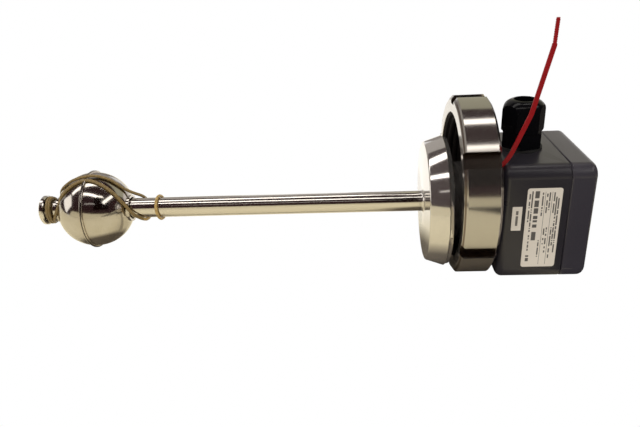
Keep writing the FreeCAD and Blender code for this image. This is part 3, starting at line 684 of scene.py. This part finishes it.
class LEVEL_OT_liner(bpy.types.Operator):
    """Turn the cone liner with its weld, its ring and the neck behind it"""
    bl_idname = "level_switch.liner"
    bl_label = "Liner"

    def execute(self, context):
        sizes = context.scene.level_liner
        bore = TUBE_R + LINER_PLAY
        weld = sizes.weld_size
        crest_z = sizes.cone_length
        ring_z = crest_z + sizes.ring_length
        neck_bore = NECK_R - NECK_WALL
        profile = [(bore, -weld)]
        for step in range(1, WELD_STEPS + 1):
            turn = math.radians(180 - 90 * step / WELD_STEPS)
            profile.append((bore + weld + weld * math.cos(turn), -weld + weld * math.sin(turn)))
        profile += rounded_corner((sizes.face_radius, 0), (-1, 0), (CONE_LEAN, 1), FACE_ROUND, 5)
        crest = (sizes.crest_radius, crest_z)
        profile += rounded_corner(crest, (-CONE_LEAN, -1), (-1, 0.35), CREST_ROUND, 4)
        profile += [(sizes.ring_radius + CREST_BACK[0], crest_z + CREST_BACK[1])]
        profile += rounded_corner((sizes.ring_radius, ring_z), (0, -1), (-1, 0), RING_ROUND, 4)
        profile += [
            (NECK_R, ring_z), (NECK_R, NECK_TOP), (neck_bore, NECK_TOP), (neck_bore, NECK_FLOOR),
            (bore, NECK_FLOOR)]
        liner = turned(profile, 192)
        bpy.ops.object.shade_smooth_by_angle(angle=math.radians(24))
        settle(liner, "cone_liner", liner_steel(tuple(context.scene.level_metal.steel)))
        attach(liner, "sensor")
        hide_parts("liner")
        return {"FINISHED"}


THREAD_DEPTH = 1.1 * MM
THREAD_START = 4.4 * MM


class LEVEL_OT_nut_thread(bpy.types.Operator):
    """Cut the round thread that lines the union nut"""
    bl_idname = "level_switch.nut_thread"
    bl_label = "Nut thread"

    def execute(self, context):
        metal = context.scene.level_metal
        pitch = metal.thread_pitch
        deselect()
        bpy.ops.mesh.primitive_circle_add(
            vertices=20, radius=1.0, location=(metal.thread_radius, 0, 0), rotation=(math.pi / 2, 0, 0))
        ridge = bpy.context.object
        ridge.scale = (THREAD_DEPTH, pitch * 0.42, 1)
        bpy.ops.object.transform_apply(location=True, rotation=True, scale=True)
        ridge.location = (NUT_X, 0, NUT_LOW.z + THREAD_START)
        wind = ridge.modifiers.new("Wind", "SCREW")
        wind.axis = "Z"
        wind.screw_offset = pitch
        wind.iterations = metal.thread_turns
        wind.steps = 96
        wind.render_steps = 96
        apply_modifiers(ridge)
        bpy.ops.object.mode_set(mode="EDIT")
        bpy.ops.mesh.select_all(action="SELECT")
        bpy.ops.mesh.fill_holes(sides=0)
        bpy.ops.mesh.select_all(action="SELECT")
        bpy.ops.mesh.normals_make_consistent(inside=False)
        bpy.ops.object.mode_set(mode="OBJECT")
        bpy.ops.object.shade_smooth_by_angle(angle=math.radians(50))
        settle(ridge, "nut_thread", bpy.data.materials["milled_steel"])
        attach(ridge, "nut")
        return {"FINISHED"}


class LEVEL_OT_head(bpy.types.Operator):
    """Round and paint the connection head and colour its gland and seals"""
    bl_idname = "level_switch.head"
    bl_label = "Connection head"

    def execute(self, context):
        head = context.scene.level_head
        colour = tuple(head.paint)
        base = self.shell(
            head, "housing_base", BASE_LOW, BASE_HIGH, True, head_paint("base_paint", colour))
        lid = self.shell(
            head, "housing_lid", LID_LOW, LID_HIGH, False,
            head_paint("lid_paint", shade(colour, 1.7)))
        for piece, node in ((base, "housing_base"), (lid, "housing_lid")):
            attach(piece, "sensor")
            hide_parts(node)
        black = moulded_plastic("gland_black", (0.003, 0.003, 0.004), 0.10, 0.18, shine=0.16)
        for node in ("gland_body", "gland_cap", "gland_locknut"):
            dress(node, black)
        rubber = moulded_plastic("seal_rubber", (0.02, 0.02, 0.02), 0.55, 0.75, 1500.0, 0.04)
        for node in ("gland_washer", "gland_seal", "neck_gasket", "lid_gasket"):
            dress(node, rubber)
        return {"FINISHED"}

    def shell(self, head, node, low, high, parting_above, paint):
        """Half of the head with rounder upright corners: the node cut to a rounded block."""
        take(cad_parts[node])
        bpy.ops.object.duplicate()
        half = bpy.context.object
        bpy.ops.object.mode_set(mode="EDIT")
        bpy.ops.mesh.select_all(action="SELECT")
        bpy.ops.mesh.remove_doubles(threshold=0.002 * MM)
        bpy.ops.object.mode_set(mode="OBJECT")
        block = rounded_block(
            low, high, head.corner_round, head.edge_round, head.parting_chamfer, parting_above)
        cut = half.modifiers.new("Corners", "BOOLEAN")
        cut.operation = "INTERSECT"
        cut.solver = "EXACT"
        cut.object = block
        apply_modifiers(half)
        bpy.data.objects.remove(block)
        take(half)
        bpy.ops.object.shade_smooth_by_angle(angle=math.radians(25))
        even = half.modifiers.new("Even", "WEIGHTED_NORMAL")
        even.keep_sharp = True
        even.weight = 100
        apply_modifiers(half)
        return settle(half, node + "_shell", paint)


class LEVEL_OT_inner_works(bpy.types.Operator):
    """Finish the switching board, leads and terminals"""
    bl_idname = "level_switch.inner_works"
    bl_label = "Inner works"

    def execute(self, context):
        dress("reed_board", circuit_board())
        dress("reed_switches", reed_glass())
        dress("lead_wires", moulded_plastic("lead_brown", (0.30, 0.14, 0.05), 0.35, 0.5))
        dress("terminal_block", moulded_plastic("terminal_grey", (0.62, 0.61, 0.57), 0.4, 0.55))
        return {"FINISHED"}


class LEVEL_OT_labels(bpy.types.Operator):
    """Stick the rating plate and the small sticker on the head's front"""
    bl_idname = "level_switch.labels"
    bl_label = "Labels"

    def execute(self, context):
        head = context.scene.level_head
        cream = tuple(head.plate_cream)
        plate = rounded_plate("rating_plate", PLATE, head.plate_thickness, printed_plate(cream))
        sticker = rounded_plate(
            "small_sticker", STICKER, head.plate_thickness * 0.6, printed_sticker(cream))
        for piece in (plate, sticker):
            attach(piece, "sensor")
        return {"FINISHED"}


# route of the band in millimetres from the ball's centre: end stop, ball, tube and back
BAND_ROUTE = (
    (6.2, 8.0, -31.0), (0.0, 10.0, -30.2), (-6.0, 8.4, -28.6), (-11.0, 4.4, -25.6),
    (-16.0, -1.6, -21.8), (-20.0, -6.2, -17.2), (-22.8, -7.6, -13.2), (-24.6, -7.0, -10.2),
    (-25.6, -6.6, -7.4), (-26.6, -6.4, -3.0), (-27.6, -5.4, 2.0), (-26.4, -3.8, 7.0),
    (-24.8, -2.8, 11.1), (-22.5, -2.4, 15.4), (-19.2, -2.0, 19.3), (-14.9, -0.4, 22.9),
    (-11.4, 2.6, 26.0), (-9.0, 4.2, 29.0), (-6.4, 6.6, 33.0), (-1.6, 8.6, 35.6),
    (4.2, 7.6, 37.0), (8.2, 3.0, 37.0), (8.4, -2.6, 36.2), (5.4, -7.0, 34.2),
    (2.6, -8.6, 31.0), (0.4, -9.0, 29.0), (-2.4, -9.0, 27.0), (-5.0, -9.2, 25.6),
    (-8.6, -9.8, 23.7), (-12.4, -10.5, 21.5), (-16.6, -10.6, 18.6), (-19.7, -10.5, 15.4),
    (-22.6, -10.0, 11.1), (-24.6, -9.2, 6.4), (-25.4, -8.9, 2.5), (-25.5, -9.3, -1.0),
    (-24.7, -10.3, -5.0), (-22.6, -12.0, -9.0), (-20.0, -13.0, -12.9), (-16.6, -13.6, -16.4),
    (-13.4, -13.2, -18.2), (-9.6, -12.2, -20.4), (-5.2, -11.2, -23.2), (-1.8, -10.5, -25.2),
    (1.6, -9.8, -27.2), (5.0, -8.2, -29.2), (8.4, -4.0, -31.0), (9.0, 2.6, -32.0),
)

# rings of the band below the ball: reach, rise from the coil's foot in millimetres, turns
BAND_RINGS = ((9.0, 0.0, 1.04), (8.6, 1.5, 1.03))
RING_CLIMB = 0.8 * MM
RING_WOBBLE = 0.12 * MM
RING_WAVE = 0.25 * MM
RING_OFFSET = 0.9
RING_STEPS = 16

LOOP_REACH = 1.15 * MM
LOOP_CORD_R = 1.0 * MM


def strand_section(name, width, thickness):
    """Flat oval outline of a strand."""
    section = bpy.data.curves.new(name, "CURVE")
    section.dimensions = "2D"
    outline = section.splines.new("NURBS")
    corners = [(1, 0), (1, 1), (0, 1), (-1, 1), (-1, 0), (-1, -1), (0, -1), (1, -1)]
    outline.points.add(len(corners) - 1)
    for point, (u, v) in zip(outline.points, corners):
        point.co = (u * width / 2, v * thickness / 2, 0, 1)
    outline.use_cyclic_u = True
    outline.order_u = 3
    outline.resolution_u = 2
    piece = bpy.data.objects.new(name, section)
    bpy.context.scene.collection.objects.link(piece)
    return piece


def strand_curve(name, points, width, thickness):
    """Flat rubber strand along a smooth route, turned into a mesh."""
    section = strand_section(name + "_section", width, thickness)
    curve = bpy.data.curves.new(name, "CURVE")
    curve.dimensions = "3D"
    spline = curve.splines.new("NURBS")
    spline.points.add(len(points) - 1)
    for point, place in zip(spline.points, points):
        point.co = (*place, 1)
    spline.order_u = 4
    spline.use_endpoint_u = True
    spline.resolution_u = 10
    curve.bevel_mode = "OBJECT"
    curve.bevel_object = section
    curve.use_fill_caps = True
    curve.twist_mode = "MINIMUM"
    piece = bpy.data.objects.new(name, curve)
    bpy.context.scene.collection.objects.link(piece)
    take(piece)
    bpy.ops.object.convert(target="MESH")
    piece = bpy.context.object
    bpy.data.objects.remove(section)
    return piece


def coil_points(turns, radius, low_z, first_angle):
    """Helix round the tube with a slightly uneven radius and height."""
    points = []
    count = int(turns * RING_STEPS)
    for index in range(count + 1):
        share = index / count
        angle = 2 * math.pi * turns * share + first_angle
        reach = radius + RING_WOBBLE * math.sin(2.3 * angle)
        height = low_z + RING_CLIMB * share + RING_WAVE * math.sin(1.7 * angle)
        points.append((reach * math.cos(angle), reach * math.sin(angle), height))
    return points


class LEVEL_OT_rubber_bands(bpy.types.Operator):
    """Lay the rubber band over the ball, wind it on the tube and slip a loop on above"""
    bl_idname = "level_switch.rubber_bands"
    bl_label = "Rubber bands"

    def execute(self, context):
        tie = context.scene.level_tie
        width = tie.band_width
        thick = tie.band_thickness
        skin = rubber_band_skin(tuple(tie.rubber))
        route = [Vector(p) * MM + Vector((0, 0, FLOAT_Z)) for p in BAND_ROUTE]
        strand = strand_curve("band_strand", route, width, thick)
        pieces = [strand]
        foot = BAND_LOW.z + width * 0.55
        for index, (reach, rise, turns) in enumerate(BAND_RINGS):
            ring = coil_points(turns, reach * MM, foot + rise * MM, RING_OFFSET * index)
            pieces.append(strand_curve(f"band_coil_{index}", ring, width, thick * 1.3))
        for piece in pieces:
            take(piece)
            bpy.ops.object.shade_smooth_by_angle(angle=math.radians(60))
            settle(piece, piece.name, skin)
            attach(piece, "float")
        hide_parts("rubber_band")
        loop = self.loop(skin)
        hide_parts("rubber_band_loop")
        return {"FINISHED"}

    def loop(self, skin):
        """Small round band that leans a little on the tube."""
        deselect()
        lean = math.radians(5)
        bpy.ops.mesh.primitive_torus_add(
            major_radius=TUBE_R + LOOP_REACH, minor_radius=LOOP_CORD_R,
            major_segments=96, minor_segments=20,
            location=(0, 0, (LOOP_LOW.z + LOOP_HIGH.z) / 2), rotation=(lean, -lean, 0))
        loop = settle(bpy.context.object, "band_loop", skin)
        bpy.ops.object.shade_smooth()
        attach(loop, "float")
        return loop


class LEVEL_OT_cable_tie(bpy.types.Operator):
    """Colour the cable tie"""
    bl_idname = "level_switch.cable_tie"
    bl_label = "Cable tie"

    def execute(self, context):
        red = moulded_plastic(
            "tie_nylon", tuple(context.scene.level_tie.nylon), 0.28, 0.40, 700.0, 0.03, shine=0.2)
        dress("cable_tie", red)
        return {"FINISHED"}


# ---- stage --------------------------------------------------------------

CAMERA_PLACE = (-0.1746, -0.3925, -0.0455)
CAMERA_AHEAD = (0.42106, 0.90495, -0.06158)
CAMERA_UP = (-0.9054, 0.4238, 0.0240)
CAMERA_LENS = 34.49

# colours that the metal and the paint reflect
TABLE_COLOUR = (0.95, 0.87, 0.61)
DARK = (0.038, 0.018, 0.019)
DIM = (0.50, 0.48, 0.36)
WALL = (0.46, 0.43, 0.40)
GREY = (0.30, 0.27, 0.25)
PALE = (0.95, 0.89, 0.86)
DEEP = (0.006, 0.002, 0.001)

# the room is a ring of upright cards, dark from start to end in degrees and deep black at the camera
ROOM_REACH = 1.02
ROOM_HEIGHT = 3.2
ROOM_START = -2.0
ROOM_END = 126.0
ROOM_STEPS = 12
ROOM_ROOF = 1.3
BEHIND_CAMERA = (2, 3, 4, 5)
BACK_START = 163.0
BACK_END = 205.0

# heights where the cards behind the object change colour, and the slope of the lowest one's top
WALL_SPLIT = 0.05
BACK_LOW_TOP = -0.30
BACK_LOW_FALL = 0.06
BACK_MIDDLE_FOOT = -0.06
BACK_HIGH_FOOT = 0.14

TABLE_X = NUT_HIGH.x + 0.5 * MM
TABLE_REACH = 1.6
TABLE_FRONT = -0.7

# painted light: the cloth is painted whiter and glows behind the object from the first Y to the second,
# and less so below a height
LIT_BEHIND_RANGE = (0.03, 0.12)
DULL_BELOW = FLOAT_Z + 0.06

# painted dark reflection: dark patches in the table, one beside the head (middle Z, half Z, middle Y,
# half Y), one past a Z and a Y behind it
DARK_PATCH_BESIDE = (0.25, 0.16, -0.30, 0.30)
DARK_PATCH_BEHIND = (0.16, 0.03)

# round shades on the table: middle (Y, Z), full up to the first radius and none past the second
TABLE_SHADES = ((-0.002, FLOAT_Z + 0.002, 0.028, 0.041), (0.0, NUT_Z, 0.045, 0.070))

# straight shades: half width of the tube's, and half sizes of the nut's in Z and Y
TUBE_SHADE = 0.006
NUT_SHADE = (0.022, 0.076)

SOFT_LIGHT = 0.74
LAMP_COLOUR = (1.0, 0.97, 0.92)
LOWEST_SOFT_LAMP = -1.5

# strip lamps: two ends as (angle from the camera side towards -X, distance, Z), width, radiance
STRIPS = (
    ((71.0, 0.80, -0.66), (64.0, 0.80, 0.04), 0.10, 3.4),
    ((65.0, 0.80, 0.06), (67.5, 0.80, 0.34), 0.065, 3.4),
    ((84.0, 0.80, -1.20), (109.0, 0.80, 0.00), 0.18, 2.8),
    ((100.5, 0.80, 0.05), (104.5, 0.80, 0.34), 0.11, 3.4),
    ((45.0, 0.80, 0.42), (98.0, 0.80, 0.86), 0.16, 2.6),
    ((39.0, 0.85, -0.42), (39.0, 0.85, 0.02), 0.035, 0.9),
    ((30.0, 0.80, -1.75), (95.0, 0.80, -1.75), 0.95, 1.6),
)


def card_material(name, reflected):
    """White to the camera, and one plain colour in reflections."""
    s = Shader(name)
    camera = s.node("ShaderNodeLightPath", {}, {}, "Is Camera Ray")
    plain = s.node("ShaderNodeEmission", {}, {"Color": (1, 1, 1), "Strength": 1.0})
    bounce = s.node("ShaderNodeEmission", {}, {"Color": reflected, "Strength": 1.0})
    return s.show(s.node("ShaderNodeMixShader", {}, {0: camera, 1: bounce, 2: plain}))


def table_top():
    """Warm table with painted light and shade: whiter and glowing behind, painted shadows under the
    object, and dark patches beside and behind the head for darker reflections.
    """
    s = Shader("table_top")
    x, y, z = s.axes()
    cloud = s.noise(9.0, 3.0)
    cloth = s.blend(s.spread(cloud, 0.0, 0.35), TABLE_COLOUR, (0.74, 0.66, 0.44))
    # painted light: whiter and glowing behind the object
    lit_behind = s.step(y, *LIT_BEHIND_RANGE) * (1 - 0.6 * (z < DULL_BELOW))
    cloth = s.blend(lit_behind, cloth, (0.92, 0.90, 0.86))
    # painted dark reflection: dark patches in the table beside and behind the head
    beside_head = band_mask(z, *DARK_PATCH_BESIDE[:2]) * band_mask(y, *DARK_PATCH_BESIDE[2:])
    dark_patch = beside_head.math("MAXIMUM", (z > DARK_PATCH_BEHIND[0]) * (y > DARK_PATCH_BEHIND[1]))
    cloth = s.blend(dark_patch, cloth, (0.03, 0.022, 0.02))
    under_tube = 0.6 * band_mask(y, 0.0, TUBE_SHADE) * band_mask(z, FLOAT_Z / 2, -FLOAT_Z / 2)
    under_nut = band_mask(z, NUT_Z, NUT_SHADE[0]) * band_mask(y, 0.0, NUT_SHADE[1])
    under = under_tube.math("MAXIMUM", under_nut)
    for middle_y, middle_z, inner, outer in TABLE_SHADES:
        apart = length_of(y - middle_y, z - middle_z)
        under = under.math("MAXIMUM", s.step(apart, outer, inner))
    cloth = s.blend(under * 0.9, cloth, (0.10, 0.075, 0.055))
    # painted light: the table glows behind the object, outside the painted shadows and dark patches
    glow = s.blend(lit_behind * (1 - under) * (1 - dark_patch), (0, 0, 0), (0.32, 0.31, 0.29))
    return s.finish(
        Base_Color=cloth, Roughness=s.spread(cloud, 0.8, 0.9),
        Emission_Color=glow, Emission_Strength=1.0)


def around(angle, distance, z):
    """Place at an angle from the camera side (-Y) towards -X."""
    turn = math.radians(angle)
    return Vector((-distance * math.sin(turn), -distance * math.cos(turn), z))


def stage_card(name, corners, material):
    """Flat card of four corners that only the shine can see."""
    deselect()
    bpy.ops.mesh.primitive_plane_add(size=1.0)
    card = bpy.context.object
    card.name = name
    for vertex, place in zip(card.data.vertices, (corners[0], corners[1], corners[3], corners[2])):
        vertex.co = place
    card.data.materials.append(material)
    card.visible_camera = False
    card.visible_shadow = False
    card.visible_diffuse = False


def stage_wall(name, first, last, low, high, material, fall=0.0):
    """Upright card between two angles; its top edge may fall towards the last one."""
    stage_card(name, [
        around(first, ROOM_REACH, low), around(last, ROOM_REACH, low),
        around(last, ROOM_REACH, high - fall), around(first, ROOM_REACH, high)], material)


class LEVEL_OT_stage(bpy.types.Operator):
    """Set the camera, the table, the dark room and the lamps"""
    bl_idname = "level_switch.stage"
    bl_label = "Stage"

    def execute(self, context):
        self.camera(context)
        self.world(context)
        self.table()
        self.room()
        self.lamps(context)
        context.scene.view_settings.view_transform = "Standard"
        return {"FINISHED"}

    def camera(self, context):
        data = bpy.data.cameras.new("camera")
        data.lens = CAMERA_LENS
        data.sensor_width = 36.0
        data.clip_start = 0.01
        data.clip_end = 20.0
        camera = bpy.data.objects.new("camera", data)
        context.scene.collection.objects.link(camera)
        back = -Vector(CAMERA_AHEAD).normalized()
        right = Vector(CAMERA_UP).cross(back).normalized()
        up = back.cross(right)
        turn = Matrix((right, up, back)).transposed().to_4x4()
        camera.matrix_world = Matrix.Translation(CAMERA_PLACE) @ turn
        context.scene.camera = camera

    def world(self, context):
        """White to the camera and in reflections, soft light on everything else."""
        s = Shader("studio", "worlds", "ShaderNodeOutputWorld")
        white = s.node("ShaderNodeBackground", {}, {"Color": (1, 1, 1), "Strength": 1.0})
        soft = s.node("ShaderNodeBackground", {}, {"Color": (1.0, 0.98, 0.95), "Strength": SOFT_LIGHT})
        camera, glossy, clear = [
            s.node("ShaderNodeLightPath", {}, {}, f"Is {ray} Ray")
            for ray in ("Camera", "Glossy", "Transmission")]
        shown = camera.math("MAXIMUM", glossy.math("MAXIMUM", clear))
        context.scene.world = s.show(s.node("ShaderNodeMixShader", {}, {0: shown, 1: soft, 2: white}))

    def table(self):
        """Table top beside the object and its slope towards the camera side."""
        cloth = table_top()
        stage_card("table", [
            (TABLE_X, TABLE_FRONT, -TABLE_REACH), (TABLE_X, TABLE_REACH, -TABLE_REACH),
            (TABLE_X, TABLE_REACH, TABLE_REACH), (TABLE_X, TABLE_FRONT, TABLE_REACH)], cloth)
        stage_card("table_front", [
            (TABLE_X, TABLE_FRONT, -TABLE_REACH), (TABLE_X, TABLE_FRONT, TABLE_REACH),
            (0.08, -1.0, TABLE_REACH), (-0.36, -1.0, -TABLE_REACH)], cloth)

    def room(self):
        """Cards round, below and above the object that only its reflections show."""
        dark = card_material("room_dark", DARK)
        dim = card_material("room_dim", DIM)
        grey = card_material("room_grey", GREY)
        pale = card_material("room_pale", PALE)
        deep = card_material("room_deep", DEEP)
        wall = card_material("room_wall", WALL)
        width = (ROOM_END - ROOM_START) / ROOM_STEPS
        for index in range(ROOM_STEPS):
            left = ROOM_START + width * index
            upper = deep if index in BEHIND_CAMERA else dark
            stage_wall(f"room_{index}_low", left, left + width, -ROOM_HEIGHT, 0.0, dark)
            stage_wall(f"room_{index}_high", left, left + width, 0.0, ROOM_HEIGHT, upper)
        stage_wall("wall_low", ROOM_END, BACK_START, -ROOM_HEIGHT, WALL_SPLIT, wall)
        stage_wall("wall_high", ROOM_END, BACK_START, WALL_SPLIT, ROOM_HEIGHT, dim)
        stage_wall("back_low", BACK_START, BACK_END, -ROOM_HEIGHT, BACK_LOW_TOP, grey, BACK_LOW_FALL)
        stage_wall("back_middle", BACK_START, BACK_END, BACK_MIDDLE_FOOT, BACK_HIGH_FOOT, grey)
        stage_wall("back_high", BACK_START, BACK_END, BACK_HIGH_FOOT, ROOM_HEIGHT, pale)
        for name, z in (("end_low", -ROOM_HEIGHT), ("end_high", ROOM_ROOF)):
            stage_card(name, [(-1.1, -1.1, z), (-1.1, 1.1, z), (0.6, 1.1, z), (0.6, -1.1, z)], dark)

    def lamps(self, context):
        for index, (start, end, width, radiance) in enumerate(STRIPS):
            self.strip(context, index, around(*start), around(*end), width, radiance)

    def strip(self, context, index, start, end, width, radiance):
        """Area lamp from start to end that faces the tube."""
        along = end - start
        data = bpy.data.lights.new(f"strip_{index}", "AREA")
        data.shape = "RECTANGLE"
        data.size = width
        data.size_y = along.length
        data.energy = radiance * math.pi * width * along.length
        data.color = LAMP_COLOUR
        lamp = bpy.data.objects.new(f"strip_{index}", data)
        context.scene.collection.objects.link(lamp)
        centre = (start + end) / 2
        long_axis = along.normalized()
        back = (centre - long_axis * centre.dot(long_axis)).normalized()
        side = long_axis.cross(back)
        turn = Matrix((side, long_axis, back)).transposed().to_4x4()
        lamp.matrix_world = Matrix.Translation(centre) @ turn
        lamp.visible_diffuse = start.z > LOWEST_SOFT_LAMP


# ---- add-on -------------------------------------------------------------

class LEVEL_PT_panel(bpy.types.Panel):
    """Sidebar panel that lists the steps"""
    bl_label = "Level Switch"
    bl_idname = "LEVEL_PT_panel"
    bl_space_type = "VIEW_3D"
    bl_region_type = "UI"
    bl_category = "Level Switch"

    def draw(self, context):
        for group in ("level_metal", "level_liner", "level_head", "level_tie"):
            settings = getattr(context.scene, group)
            for key in settings.bl_rna.properties.keys():
                if key not in ("rna_type", "name"):
                    self.layout.prop(settings, key)
        for step in STEPS:
            self.layout.operator(step.bl_idname)


STEPS = (
    LEVEL_OT_metals, LEVEL_OT_liner, LEVEL_OT_nut_thread, LEVEL_OT_head, LEVEL_OT_inner_works,
    LEVEL_OT_labels, LEVEL_OT_rubber_bands, LEVEL_OT_cable_tie, LEVEL_OT_stage,
)
GROUPS = (MetalSettings, LinerSettings, HeadSettings, TieSettings)


def register():
    for item in GROUPS + STEPS + (LEVEL_PT_panel,):
        bpy.utils.register_class(item)
    bpy.types.Scene.level_metal = PointerProperty(type=MetalSettings)
    bpy.types.Scene.level_liner = PointerProperty(type=LinerSettings)
    bpy.types.Scene.level_head = PointerProperty(type=HeadSettings)
    bpy.types.Scene.level_tie = PointerProperty(type=TieSettings)


def unregister():
    del bpy.types.Scene.level_tie
    del bpy.types.Scene.level_head
    del bpy.types.Scene.level_liner
    del bpy.types.Scene.level_metal
    for item in reversed(GROUPS + STEPS + (LEVEL_PT_panel,)):
        bpy.utils.unregister_class(item)


def main():
    register()
    bpy.ops.level_switch.metals()
    bpy.ops.level_switch.liner()
    bpy.ops.level_switch.nut_thread()
    bpy.ops.level_switch.head()
    bpy.ops.level_switch.inner_works()
    bpy.ops.level_switch.labels()
    bpy.ops.level_switch.rubber_bands()
    bpy.ops.level_switch.cable_tie()
    bpy.ops.level_switch.stage()


if __name__ == "__main__":
    main()
